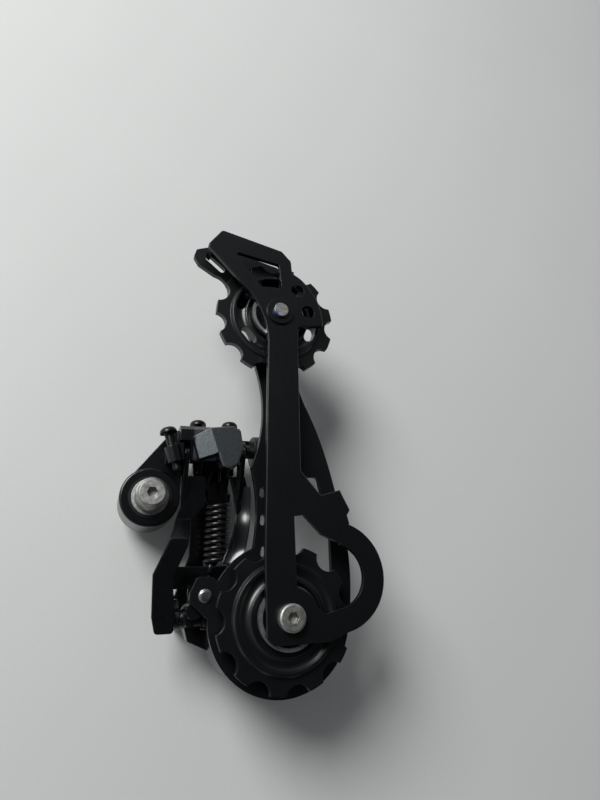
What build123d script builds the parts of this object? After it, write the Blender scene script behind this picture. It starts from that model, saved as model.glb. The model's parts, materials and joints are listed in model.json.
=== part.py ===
from build123d import *
from math import asin, atan2, cos, hypot, pi, radians, sin
import os

# Rear bicycle derailleur, relaxed: parallelogram outboard, cage against its stop.
# The origin is on the mounting bolt's axis where the bolt's shoulder meets the
# dropout hanger.  +Z runs inboard along the bolt, towards the wheel.  +X points
# to the rear of the bicycle and +Y up, along the line of the two pulleys.

# ---- driving dimensions, millimetres and degrees --------------------------
chain_pitch = 12.7
pulley_teeth = 11
roller_radius = 3.95
tooth_height = 2.9
pulley_spacing = 101.0
guide_x = 40.0
guide_y = -39.0
chain_line = 15.0
cage_gap = 8.6
outer_plate_thickness = 2.0
inner_plate_thickness = 1.7

pulley_body_width = 5.4
tooth_width = 2.4
pulley_rim_radius = 16.6
cap_radius = 9.4
cap_thickness = 0.5
sleeve_radius = 4.0
running_gap = 0.05
pulley_bolt_radius = 2.5
bolt_head_radius = 4.1
bolt_head_height = 2.6
hex_across_flats = 3.0

hanger_thread_radius = 5.0
hanger_thread_length = 6.5
bolt_pilot_radius = 4.15
bolt_pilot_length = 1.8
journal_radius = 6.0
boss_radius = 9.75
boss_width = 14.3
boss_face_gap = 0.2
bushing_wall = 0.8
washer_thickness = 0.5
mounting_head_radius = 7.6
mounting_head_height = 3.2
mounting_hex = 5.0

link_length = 52.3
link_lean = 6.0
link_swing = 44.0
link_spacing = 12.5
link_sheet = 1.6
pivot_y = 14.0
pivot_z = 1.5
pivot_pin_radius = 1.5
ear_radius = 3.3
ear_gap = 0.3
web_depth = 1.8

limit_screw_radius = 1.5
limit_head_radius = 2.5
limit_head_height = 2.1
limit_head_lift = 2.4
limit_screw_z = -3.0
high_screw_x = 15.7
low_screw_x = 27.0
limit_tip_y = 8.0
stop_gap = 0.1

p_axle_x = 32.0
p_axle_y = -45.0
p_housing_radius = 12.5
p_housing_wall = 2.4
p_housing_bottom = -10.0
p_axle_radius = 4.0
p_seal_thickness = 0.8
stop_pin_radius = 2.1

barrel_radius = 5.6
barrel_shank_radius = 2.4
barrel_boss_radius = 3.4
barrel_boss_length = 3.6
barrel_length = 13.0
barrel_y = 17.5
barrel_z = -4.7
housing_bore_radius = 2.6
housing_bore_depth = 7.0

spring_radius = 3.2
spring_wire = 1.1
spring_turns = 13
spring_x = 23.0

# ---- places worked out from them ------------------------------------------
guide = (guide_x, guide_y)
tension = (guide_x, guide_y + pulley_spacing)
outer_top = chain_line - cage_gap / 2
outer_bottom = outer_top - outer_plate_thickness
inner_bottom = chain_line + cage_gap / 2
inner_top = inner_bottom + inner_plate_thickness
pitch_radius = chain_pitch / 2 / sin(pi / pulley_teeth)
root_radius = pitch_radius - roller_radius
tip_radius = root_radius + tooth_height

boss_top = -boss_face_gap
boss_bottom = boss_top - boss_width
head_top = boss_bottom - washer_thickness
bushing_radius = journal_radius + running_gap + bushing_wall

lean = radians(link_lean)
outer_pivot_z = pivot_z - link_spacing
lower_y = pivot_y - link_length * cos(lean)
lower_z = pivot_z - link_length * sin(lean)
outer_lower_z = lower_z - link_spacing
p_housing_top = outer_bottom - p_seal_thickness
LINK_UP = (0, cos(lean), sin(lean))
LINK_IN = (0, -sin(lean), cos(lean))


def link_face(pivot_height, rise=0.0):
    """Plane of a link: x across, y up the link from its upper pivot, z inboard."""
    origin = Vector(0, pivot_y, pivot_height) + Vector(*LINK_IN) * rise
    return Plane(origin=origin, x_dir=(1, 0, 0), z_dir=LINK_IN)


def link_side(pivot_height, x):
    """Side view of a link at width x: x up the link, y inboard, normal +X."""
    return Plane(origin=(x, pivot_y, pivot_height), x_dir=LINK_UP, z_dir=(1, 0, 0))


def around(center, *offsets):
    """Points at offsets from an axis, for outlines that follow that axis."""
    return [(center[0] + offset[0], center[1] + offset[1]) for offset in offsets]


def finish(builder, label):
    """Name a finished piece and write it."""
    builder.part.label = label
    export_step(builder.part, f"parts/{label}.step")


os.makedirs("parts", exist_ok=True)

# ---- mounting bolt, the piece that holds the derailleur to the hanger ------
with BuildPart() as mounting_bolt:
    with BuildSketch(Plane.XY.offset(head_top)):
        Circle(mounting_head_radius)
    extrude(amount=-mounting_head_height)
    with BuildSketch(Plane.XY.offset(head_top)):
        Circle(journal_radius)
    extrude(amount=-head_top)
    with BuildSketch():
        Circle(hanger_thread_radius)
    extrude(amount=hanger_thread_length)
    thread_end = mounting_bolt.faces().sort_by(Axis.Z)[-1]
    chamfer(thread_end.edges(), 0.5)
    # Smooth pilot that leads the thread into the hanger.
    with BuildSketch(Plane.XY.offset(hanger_thread_length)):
        Circle(bolt_pilot_radius)
    extrude(amount=bolt_pilot_length)
    chamfer(mounting_bolt.faces().sort_by(Axis.Z)[-1].edges(), 0.3)
    with BuildSketch(Plane.XY.offset(hanger_thread_length + bolt_pilot_length)):
        RegularPolygon(hex_across_flats / 2, 6, major_radius=False)
    extrude(amount=-2.0, mode=Mode.SUBTRACT)
    head_end = mounting_bolt.faces().sort_by(Axis.Z)[0]
    fillet(head_end.edges(), 0.8)
    with BuildSketch(Plane.XY.offset(head_top - mounting_head_height)):
        RegularPolygon(mounting_hex / 2, 6, major_radius=False)
    extrude(amount=4.0, mode=Mode.SUBTRACT)
finish(mounting_bolt, "mounting_bolt")

with BuildPart() as b_washer:
    with BuildSketch(Plane.XY.offset(head_top)):
        Circle(mounting_head_radius + 0.8)
        Circle(journal_radius + running_gap, mode=Mode.SUBTRACT)
    extrude(amount=washer_thickness)
finish(b_washer, "b_washer")

with BuildPart() as b_bushing:
    with BuildSketch(Plane.XY.offset(boss_bottom)):
        Circle(bushing_radius)
        Circle(journal_radius + running_gap, mode=Mode.SUBTRACT)
    extrude(amount=boss_width)
finish(b_bushing, "b_bushing")

# ---- B-knuckle, the casting that carries the links and the screws ----------
lug_radius = ear_radius - 0.4
block_left = 12.2
block_right = 29.1
lower_lug_left = 17.5
lower_lug_right = 26.5
inner_ears = (block_left - ear_gap - link_sheet, block_right + ear_gap)
outer_ears = (lower_lug_left - ear_gap - link_sheet, lower_lug_right + ear_gap)
block_top_y = 23.4
b_screw_head = Vector(4.4, 21.5, 5.0)
b_screw_tip = Vector(8.1, 7.6, 5.0)
b_screw_axis = (b_screw_tip - b_screw_head).normalized()
b_screw_plane = Plane(origin=b_screw_head, x_dir=(0, 0, 1), z_dir=b_screw_axis)
b_boss_start = 6.0
b_boss_length = 5.4
b_boss_radius = 2.6
neck_bottom = -12.5
neck_top = -1.2
nose_bottom = 5.4
nose_top = 10.2
crease_top = (17.9, 21.6)
crease_foot = (20.6, 13.0)
facet_slope = 0.3
facet_reach = 8.0

with BuildPart() as b_knuckle:
    with BuildSketch(Plane.XY.offset(boss_bottom)):
        Circle(boss_radius)
    extrude(amount=boss_width)
    fillet(b_knuckle.edges().sort_by(Axis.Z)[-1], 0.8)
    # Neck from the boss up to the block.
    with BuildSketch(Plane.XY.offset(neck_bottom)):
        Circle(boss_radius - 0.5)
        with Locations((8.6, 19.6)):
            Circle(3.6)
        make_hull()
    extrude(amount=neck_top - neck_bottom)
    # Bar along the top that joins the neck to the block of lugs.
    with BuildSketch(Plane.YZ.offset(8.6)):
        with BuildLine():
            Polyline((18.0, -13.2), (22.4, -13.2), (block_top_y, -11.5), (block_top_y, 4.2),
                     (21.8, 6.0), (18.0, 6.0), close=True)
        make_face()
    extrude(amount=block_right - 8.6)
    # Upper lug, rounded about the inner link's pin.
    with BuildSketch(Plane.YZ.offset(block_left)):
        with Locations((pivot_y, pivot_z)):
            Circle(lug_radius)
        with Locations((19.5, 2.5)):
            Circle(3.4)
        with Locations((19.5, -6.0)):
            Circle(3.4)
        make_hull()
    extrude(amount=block_right - block_left)
    # Lower lug, rounded about the outer link's pin.
    with BuildSketch(Plane.YZ.offset(lower_lug_left)):
        with Locations((pivot_y, outer_pivot_z)):
            Circle(lug_radius)
        with Locations((pivot_y, pivot_z)):
            Circle(lug_radius)
        with Locations((19.5, -10.0)):
            Circle(3.2)
        make_hull()
    extrude(amount=lower_lug_right - lower_lug_left)
    # Machined nose over the inner pin.
    with BuildSketch(Plane.XY.offset(nose_bottom - 1.5)):
        with BuildLine():
            Polyline((block_left + 0.2, 18.6), crease_top, (25.8, 22.6), (28.2, 21.0),
                     (block_right, 15.0), (27.2, 9.4), (24.6, 7.9), (22.3, 8.4), (21.3, 10.4),
                     crease_foot, (14.6, 11.2), close=True)
        make_face()
    extrude(amount=nose_top - nose_bottom + 1.5)
    chamfer(b_knuckle.faces().sort_by(Axis.Z)[-1].edges(), 0.4)
    # Sloped facet in front of the crease.
    crease = Vector(*crease_foot, nose_top) - Vector(*crease_top, nose_top)
    facet = Plane(origin=(*crease_top, nose_top), x_dir=crease.cross(Vector(0, 0, 1)), z_dir=crease)
    with BuildSketch(facet.offset(-2.0)):
        with BuildLine():
            Polyline((0, 0), (facet_reach, 0), (facet_reach, facet_reach * facet_slope), close=True)
        make_face()
    extrude(amount=crease.length + 4.0, mode=Mode.SUBTRACT)
    # Boss for the B-tension screw.
    with BuildSketch(b_screw_plane.offset(b_boss_start)):
        Circle(b_boss_radius)
    extrude(amount=b_boss_length)
    with BuildSketch(Plane.XY.offset(neck_bottom)):
        with Locations((7.2, 14.2)):
            Rectangle(5.2, 5.6)
    extrude(amount=b_screw_head.Z + 1.0 - neck_bottom)
    # Threaded boss of the barrel adjuster on the rear face, and a rib below it.
    with BuildSketch(Plane.YZ.offset(block_right)):
        with Locations((barrel_y, barrel_z)):
            Circle(barrel_boss_radius)
    extrude(amount=barrel_boss_length)
    with BuildSketch(Plane.XY.offset(-13.2)):
        with BuildLine():
            Polyline((lower_lug_right, 17.6), (37.0, 17.6), (38.0, 18.6), (38.0, block_top_y - 1),
                     (37.0, block_top_y), (lower_lug_right, block_top_y), close=True)
        make_face()
    extrude(amount=2.6)
    with BuildSketch(Plane.YZ.offset(block_right)):
        with Locations((barrel_y, barrel_z)):
            Circle(barrel_shank_radius + running_gap)
    extrude(amount=barrel_boss_length, mode=Mode.SUBTRACT)
    # Slots in which the links' ears turn.
    for ear_x, height in ((inner_ears[0], pivot_z), (outer_ears[0], outer_pivot_z)):
        with BuildSketch(Plane.YZ.offset(ear_x - ear_gap)):
            with Locations((pivot_y, height)):
                Circle(ear_radius + ear_gap)
            with Locations((pivot_y - 14, height)):
                Circle(ear_radius + 5)
            with Locations((pivot_y - 10, height + 14)):
                Circle(ear_radius + 3)
            make_hull()
        extrude(amount=link_sheet + 2 * ear_gap, mode=Mode.SUBTRACT)
    # Slot for the return spring's hook.
    with BuildSketch(Plane.YZ.offset(spring_x - 2.2)):
        with Locations((pivot_y, outer_pivot_z)):
            Circle(lug_radius + 1.0)
        with Locations((pivot_y - 12, outer_pivot_z + 2)):
            Circle(lug_radius + 1.0)
        make_hull()
    extrude(amount=4.4, mode=Mode.SUBTRACT)
    # Bores: mounting bolt bushing, pivot pins, screws and barrel adjuster.
    with BuildSketch(Plane.XY.offset(boss_bottom)):
        Circle(bushing_radius)
    extrude(amount=boss_width, mode=Mode.SUBTRACT)
    with BuildSketch(Plane.YZ.offset(inner_ears[0] - 2)):
        with Locations((pivot_y, pivot_z), (pivot_y, outer_pivot_z)):
            Circle(pivot_pin_radius)
    extrude(amount=block_right, mode=Mode.SUBTRACT)
    with BuildSketch(Plane.XZ.offset(-block_top_y)):
        with Locations((high_screw_x, limit_screw_z), (low_screw_x, limit_screw_z)):
            Circle(limit_screw_radius + running_gap)
    extrude(amount=20, mode=Mode.SUBTRACT)
    with BuildSketch(b_screw_plane):
        Circle(limit_screw_radius + running_gap)
    extrude(amount=30, mode=Mode.SUBTRACT)
finish(b_knuckle, "b_knuckle")

# ---- limit screws and B-tension screw ---------------------------------------


def adjusting_screw(plane, length):
    """A pan-headed M3 screw: head outside the plane, shank along its normal."""
    with BuildPart() as screw:
        with BuildSketch(plane):
            Circle(limit_head_radius)
        extrude(amount=-limit_head_height)
        head = screw.faces().sort_by(Axis(plane.origin, plane.z_dir))[0]
        fillet(head.edges(), 0.7)
        with BuildSketch(plane):
            Circle(limit_screw_radius)
        extrude(amount=length)
        with BuildSketch(plane.offset(-limit_head_height)):
            Rectangle(3.0, 0.7)
            Rectangle(0.7, 3.0)
        extrude(amount=1.2, mode=Mode.SUBTRACT)
    return screw


limit_seat_y = block_top_y + limit_head_lift
high_plane = Plane(origin=(high_screw_x, limit_seat_y, limit_screw_z), z_dir=(0, -1, 0))
high_limit_screw = adjusting_screw(high_plane, limit_seat_y - limit_tip_y)
finish(high_limit_screw, "high_limit_screw")
low_plane = Plane(origin=(low_screw_x, limit_seat_y, limit_screw_z), z_dir=(0, -1, 0))
low_limit_screw = adjusting_screw(low_plane, limit_seat_y - limit_tip_y)
finish(low_limit_screw, "low_limit_screw")
b_tension_screw = adjusting_screw(b_screw_plane, (b_screw_tip - b_screw_head).length)
finish(b_tension_screw, "b_tension_screw")

# ---- pivot pins -------------------------------------------------------------
lower_block_left = 10.9
lower_block_right = 17.6
lower_outer_left = 12.0
inner_lower_ears = (lower_block_left - ear_gap - link_sheet, lower_block_right + ear_gap)
outer_lower_ears = (lower_outer_left - ear_gap - link_sheet, lower_block_right + ear_gap)
inner_arm_left = 2.6


def pivot_pin(label, x_start, x_end, y, z):
    """A plain pin across both ears of a link, chamfered at each end."""
    with BuildPart() as pin:
        with BuildSketch(Plane.YZ.offset(x_start)):
            with Locations((y, z)):
                Circle(pivot_pin_radius)
        extrude(amount=x_end - x_start)
        chamfer(pin.edges().filter_by(GeomType.CIRCLE), 0.25)
    finish(pin, label)


pin_overhang = 0.5
pivot_pin("upper_inner_pin", inner_ears[0] - pin_overhang,
          inner_ears[1] + link_sheet + pin_overhang, pivot_y, pivot_z)
pivot_pin("upper_outer_pin", outer_ears[0] - pin_overhang,
          outer_ears[1] + link_sheet + pin_overhang, pivot_y, outer_pivot_z)
pivot_pin("lower_inner_pin", inner_arm_left + 1.2,
          inner_lower_ears[1] + link_sheet + pin_overhang, lower_y, lower_z)
pivot_pin("lower_outer_pin", outer_lower_ears[0] - pin_overhang,
          outer_lower_ears[1] + link_sheet + pin_overhang, lower_y, outer_lower_z)

# ---- inner link: a forked stamping with two arms and a cross-bar -------------
tilt_drop = (pivot_z - limit_screw_z + limit_screw_radius) * sin(lean)
arm_top = -(pivot_y - limit_tip_y + stop_gap) / cos(lean) - tilt_drop
bar_top = -36.4
bar_bottom = -43.4
arm_end = -(link_length + 3.8)
arm_wall_x = 6.2
fork_end = -(link_length - ear_radius - 0.8)
ear_hole = pivot_pin_radius + running_gap
inner_face = link_face(pivot_z, -web_depth)

# Left arm: a strip that steps inboard over the lower pin, cut to its outline.
arm_cover = pivot_pin_radius + ear_gap + link_sheet / 2
arm_web = -web_depth - link_sheet / 2
with BuildPart() as left_arm:
    with BuildSketch(link_side(pivot_z, inner_arm_left - 4)):
        with BuildLine() as strip:
            Polyline((arm_top, arm_web), (-21.6, arm_web), (-27.8, arm_cover + 0.4),
                     (-41.0, arm_cover), (arm_end - 2, arm_cover + 0.3))
        trace(strip.line, line_width=link_sheet)
    extrude(amount=inner_ears[0] + 14)
    with BuildSketch(link_face(pivot_z, 12)):
        with BuildLine():
            FilletPolyline((inner_ears[0], arm_top + 2), (inner_ears[0], -17.0), (7.9, -24.6),
                           (1.7, -38.4), (1.9, -51.0), (3.0, arm_end), (8.6, arm_end),
                           (9.2, -51.0), (7.9, -40.0), (12.3, -30.0), (13.5, -22.1),
                           (18.4, -16.4), (18.4, arm_top + 2), radius=1.2, close=True)
        make_face()
    extrude(amount=-24, mode=Mode.INTERSECT)

with BuildPart() as inner_link:
    add(left_arm.part)
    # Side wall under the left arm, down past the cross-bar, with the pin hole in it.
    with BuildSketch(link_side(pivot_z, arm_wall_x)):
        with BuildLine():
            FilletPolyline((bar_top + 2.6, arm_cover), (bar_top + 2.6, arm_web - link_sheet / 2),
                           (bar_bottom - 1.0, arm_web - link_sheet / 2),
                           (-link_length + 1.0, -ear_radius), (-link_length - ear_radius, -ear_radius),
                           (-link_length - ear_radius, arm_cover), radius=0.8, close=True)
        make_face()
    extrude(amount=link_sheet)
    # Right arm, curving in behind the guide pulley.
    with BuildSketch(inner_face):
        with BuildLine():
            right_edge = inner_ears[1] + link_sheet
            outside = ThreePointArc((right_edge + 1.0, arm_top), (right_edge + 2.6, -16.0),
                                    (right_edge - 1.6, bar_top))
            Line(outside @ 1, (right_edge - 3.4, bar_bottom))
            Line((right_edge - 3.4, bar_bottom), (inner_lower_ears[1] + link_sheet, -47.0))
            Line((inner_lower_ears[1] + link_sheet, -47.0),
                 (inner_lower_ears[1] + link_sheet, fork_end))
            Line((inner_lower_ears[1] + link_sheet, fork_end), (13.6, fork_end))
            Line((13.6, fork_end), (13.6, bar_bottom + 1.0))
            Line((13.6, bar_bottom + 1.0), (22.0, bar_top - 2.0))
            Line((22.0, bar_top - 2.0), (right_edge - 4.4, bar_top))
            inside = ThreePointArc((right_edge - 4.4, bar_top), (right_edge - 1.9, -19.0),
                                   (right_edge - 4.4, arm_top))
            Line(inside @ 1, outside @ 0)
        make_face()
    extrude(amount=-link_sheet)
    # Cross-bar that the return spring hooks into.
    with BuildSketch(inner_face):
        with BuildLine():
            Polyline((arm_wall_x, bar_bottom), (arm_wall_x, bar_top), (right_edge - 4.0, bar_top),
                     (right_edge - 4.0, bar_bottom + 1.0), (18.0, bar_bottom), close=True)
        make_face()
        with Locations((spring_x - 2.6, bar_top - 2.4)):
            Circle(1.0, mode=Mode.SUBTRACT)
    extrude(amount=-link_sheet)
    # Upper ears, one each side of the knuckle.
    for ear_x in inner_ears:
        with BuildSketch(link_side(pivot_z, ear_x)):
            Circle(ear_radius)
            with BuildLine():
                Polyline((0, ear_radius), (-8.5, 0.9), (-15.0, -web_depth),
                         (-15.0, -web_depth - link_sheet), (0, -web_depth - link_sheet),
                         close=True)
            make_face()
        extrude(amount=link_sheet)
    # Lower ears.
    for ear_x in inner_lower_ears:
        with BuildSketch(link_side(pivot_z, ear_x)):
            with Locations((-link_length, 0)):
                Circle(ear_radius)
            with BuildLine():
                Polyline((-link_length, ear_radius), (-46.5, -web_depth),
                         (-46.5, -web_depth - link_sheet),
                         (-link_length, -web_depth - link_sheet), close=True)
            make_face()
        extrude(amount=link_sheet)
    # Lug under the high limit screw.
    with BuildSketch(link_face(pivot_z, -web_depth)):
        with Locations((high_screw_x, arm_top)):
            Rectangle(3.4, 1.8, align=(Align.CENTER, Align.MAX))
    extrude(amount=-4.2)
    # Pin holes.
    with BuildSketch(link_side(pivot_z, 0)):
        Circle(ear_hole)
        with Locations((-link_length, 0)):
            Circle(ear_hole)
    extrude(amount=right_edge + 2, mode=Mode.SUBTRACT)
finish(inner_link, "inner_link")

# ---- outer link: a broad plate under the spring -------------------------------
outer_web = 4.6
cam_angle = radians(link_swing)
cam_reach = pivot_y - (limit_tip_y - stop_gap)
cam_height = limit_screw_z - outer_pivot_z
# The cam face meets the low limit screw's tip at the end of the swing.
cam_y = -cam_reach * cos(cam_angle) - cam_height * sin(cam_angle)
cam_z = -cam_reach * sin(cam_angle) + cam_height * cos(cam_angle)
cam_u = cam_y * cos(lean) + cam_z * sin(lean)
cam_w = -cam_y * sin(lean) + cam_z * cos(lean)

with BuildPart() as outer_link:
    with BuildSketch(link_face(outer_pivot_z, -outer_web)):
        with BuildLine():
            Polyline((outer_ears[0], 0.5), (outer_ears[1] + link_sheet, 0.5),
                     (outer_ears[1] + link_sheet, -30.0),
                     (outer_lower_ears[1] + link_sheet, -46.0),
                     (outer_lower_ears[1] + link_sheet, -56.0),
                     (outer_lower_ears[0], -56.0), (outer_lower_ears[0], -48.0),
                     (outer_ears[0], -32.0), close=True)
        web_face = make_face()
        fillet(web_face.vertices(), 1.5)
    extrude(amount=link_sheet)
    for ear_x in outer_ears:
        with BuildSketch(link_side(outer_pivot_z, ear_x)):
            Circle(ear_radius)
            with BuildLine():
                Polyline((0, ear_radius), (-9.0, 0.0), (-24.0, -outer_web + link_sheet),
                         (-24.0, -outer_web), (0, -outer_web), close=True)
            make_face()
        extrude(amount=link_sheet)
    for ear_x in outer_lower_ears:
        with BuildSketch(link_side(outer_pivot_z, ear_x)):
            with Locations((-link_length, 0)):
                Circle(ear_radius)
            with BuildLine():
                Polyline((-link_length, ear_radius), (-45.0, -outer_web + link_sheet),
                         (-45.0, -outer_web), (-link_length, -outer_web), close=True)
            make_face()
        extrude(amount=link_sheet)
    # Cam that stops on the low limit screw.
    cam_plane = link_side(outer_pivot_z, outer_ears[1])
    with BuildSketch(cam_plane):
        with BuildLine():
            run = 2.4
            fall = (cos(cam_angle - lean), sin(cam_angle - lean))
            top = (cam_u - run * fall[1], cam_w + run * fall[0])
            low = (cam_u + run * fall[1], cam_w - run * fall[0])
            Polyline(top, low, (low[0] - 1.0, -outer_web + 0.8), (top[0] - 5.0, -outer_web + 0.8),
                     (top[0] - 2.2, top[1] - 1.0), close=True)
        make_face()
    extrude(amount=link_sheet)
    with BuildSketch(link_side(outer_pivot_z, 0)):
        Circle(ear_hole)
        with Locations((-link_length, 0)):
            Circle(ear_hole)
    extrude(amount=40, mode=Mode.SUBTRACT)
finish(outer_link, "outer_link")

# ---- P-knuckle ------------------------------------------------------------------
stop_x = 16.5
stop_y = -31.7
stop_radius = hypot(stop_x - p_axle_x, stop_y - p_axle_y)
stop_angle = atan2(stop_y - p_axle_y, stop_x - p_axle_x)
stop_post_radius = 2.6
post_angle = stop_angle + 2 * asin((stop_pin_radius + stop_post_radius + stop_gap) / 2 / stop_radius)
post = (p_axle_x + stop_radius * cos(post_angle), p_axle_y + stop_radius * sin(post_angle))

spine = (lower_y - 1.2, lower_z - 5.5)
spine_radius = 1.7

with BuildPart() as p_knuckle:
    with BuildSketch(Plane.XY.offset(p_housing_bottom)):
        with Locations((p_axle_x, p_axle_y)):
            Circle(p_housing_radius)
    extrude(amount=p_housing_top - p_housing_bottom)
    # Lugs for the two lower pins.
    with BuildSketch(Plane.YZ.offset(lower_block_left)):
        with Locations((lower_y, lower_z)):
            Circle(lug_radius)
        with Locations(spine):
            Circle(spine_radius)
        make_hull()
    extrude(amount=lower_block_right - lower_block_left)
    with BuildSketch(Plane.YZ.offset(lower_outer_left)):
        with Locations((lower_y, outer_lower_z)):
            Circle(lug_radius)
        with Locations(spine):
            Circle(spine_radius)
        make_hull()
    extrude(amount=lower_block_right - lower_outer_left)
    # Bridge behind the ears from the lugs to the spring housing.
    bridge_top = lower_y - ear_radius - ear_gap
    with BuildSketch(Plane.XY.offset(p_housing_bottom)):
        with BuildLine():
            Polyline((lower_outer_left, spine[0]), (lower_block_right, spine[0]),
                     (lower_block_right, bridge_top), (p_axle_x - 8, bridge_top),
                     (p_axle_x - 6, p_axle_y - 6.5), (p_axle_x - 12.5, bridge_top - 6.0),
                     (lower_outer_left + 1.5, bridge_top - 3.2), close=True)
        make_face()
    extrude(amount=lower_z - p_housing_bottom)
    # Post that the cage's stop pin rests on.
    with BuildSketch(Plane.XY.offset(lower_z)):
        with Locations(post):
            Circle(stop_post_radius)
    extrude(amount=p_housing_top - lower_z)
    with BuildSketch(Plane.XY.offset(lower_z + 1.0)):
        with Locations(post):
            Circle(stop_post_radius)
        with Locations((lower_outer_left + 1.6, lower_y - 1.0)):
            Circle(1.6)
        make_hull()
    extrude(amount=3.6)
    # Fin for the cable anchor.
    anchor = (p_axle_x + 6.0, p_axle_y + p_housing_radius + 3.6)
    with BuildSketch(Plane.XY.offset(-8.5)):
        with Locations(anchor):
            Circle(4.0)
        with Locations((anchor[0] - 2.6, anchor[1] - 7.0)):
            Circle(5.0)
        make_hull()
        with Locations((p_axle_x, p_axle_y)):
            Circle(p_housing_radius - 1.0, mode=Mode.SUBTRACT)
    extrude(amount=4.5)
    with BuildSketch(Plane.XY.offset(-8.5)):
        with Locations(anchor):
            Circle(pulley_bolt_radius)
    extrude(amount=4.5, mode=Mode.SUBTRACT)
    with BuildSketch(Plane.YZ):
        with Locations((lower_y, lower_z), (lower_y, outer_lower_z)):
            Circle(pivot_pin_radius)
    extrude(amount=lower_block_right + 0.1, mode=Mode.SUBTRACT)
    # Slot for the inner link's right ear beside the housing.
    with BuildSketch(Plane.YZ.offset(lower_block_right)):
        with Locations((lower_y, lower_z)):
            Circle(ear_radius + ear_gap)
        with Locations((lower_y + 14, lower_z + 3)):
            Circle(ear_radius + 3)
        with Locations((lower_y + 10, lower_z - 12)):
            Circle(ear_radius + 3)
        make_hull()
    extrude(amount=link_sheet + 2 * ear_gap + pin_overhang, mode=Mode.SUBTRACT)
    # Spring cavity, and the bore for the P-axle in its floor.
    with BuildSketch(Plane.XY.offset(p_housing_bottom + p_housing_wall)):
        with Locations((p_axle_x, p_axle_y)):
            Circle(p_housing_radius - p_housing_wall)
    extrude(amount=p_housing_top - p_housing_bottom, mode=Mode.SUBTRACT)
    with Locations((p_axle_x, p_axle_y, p_housing_bottom)):
        Hole(p_axle_radius + running_gap)
finish(p_knuckle, "p_knuckle")

# ---- P-axle and its screw, spring and cover --------------------------------------
axle_foot = p_housing_bottom - 0.3
with BuildPart() as p_axle:
    with BuildSketch(Plane.XY.offset(axle_foot)):
        with Locations((p_axle_x, p_axle_y)):
            Circle(p_axle_radius)
    extrude(amount=outer_top - axle_foot)
    with Locations((p_axle_x, p_axle_y, axle_foot)):
        Hole(pulley_bolt_radius, depth=10)
finish(p_axle, "p_axle")

with BuildPart() as p_axle_screw:
    with BuildSketch(Plane.XY.offset(axle_foot)):
        with Locations((p_axle_x, p_axle_y)):
            Circle(p_axle_radius + 2.4)
    extrude(amount=-1.8)
    fillet(p_axle_screw.edges().sort_by(Axis.Z)[0], 0.8)
    with BuildSketch(Plane.XY.offset(axle_foot)):
        with Locations((p_axle_x, p_axle_y)):
            Circle(pulley_bolt_radius)
    extrude(amount=8)
    with BuildSketch(Plane.XY.offset(axle_foot - 1.8)):
        with Locations((p_axle_x, p_axle_y)):
            RegularPolygon(2.0, 6, major_radius=False)
    extrude(amount=3.5, mode=Mode.SUBTRACT)
finish(p_axle_screw, "p_axle_screw")

p_spring_radius = 7.2
p_spring_wire = 1.8
with BuildPart() as p_spring:
    with BuildSketch(Plane.XZ.offset(-p_axle_y)):
        with GridLocations(0, p_spring_wire + 0.15, 1, 5):
            with Locations((p_axle_x + p_spring_radius, -1.0)):
                Circle(p_spring_wire / 2)
    revolve(axis=Axis((p_axle_x, p_axle_y, 0), (0, 0, 1)))
finish(p_spring, "p_spring")

with BuildPart() as p_seal:
    with BuildSketch(Plane.XY.offset(p_housing_top + 0.1)):
        with Locations((p_axle_x, p_axle_y)):
            Circle(p_housing_radius - 0.6)
            Circle(p_axle_radius, mode=Mode.SUBTRACT)
    extrude(amount=p_seal_thickness - 0.1)
finish(p_seal, "p_seal")

# ---- outer cage plate ----------------------------------------------------------------
disc_radius = 22.8

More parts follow.
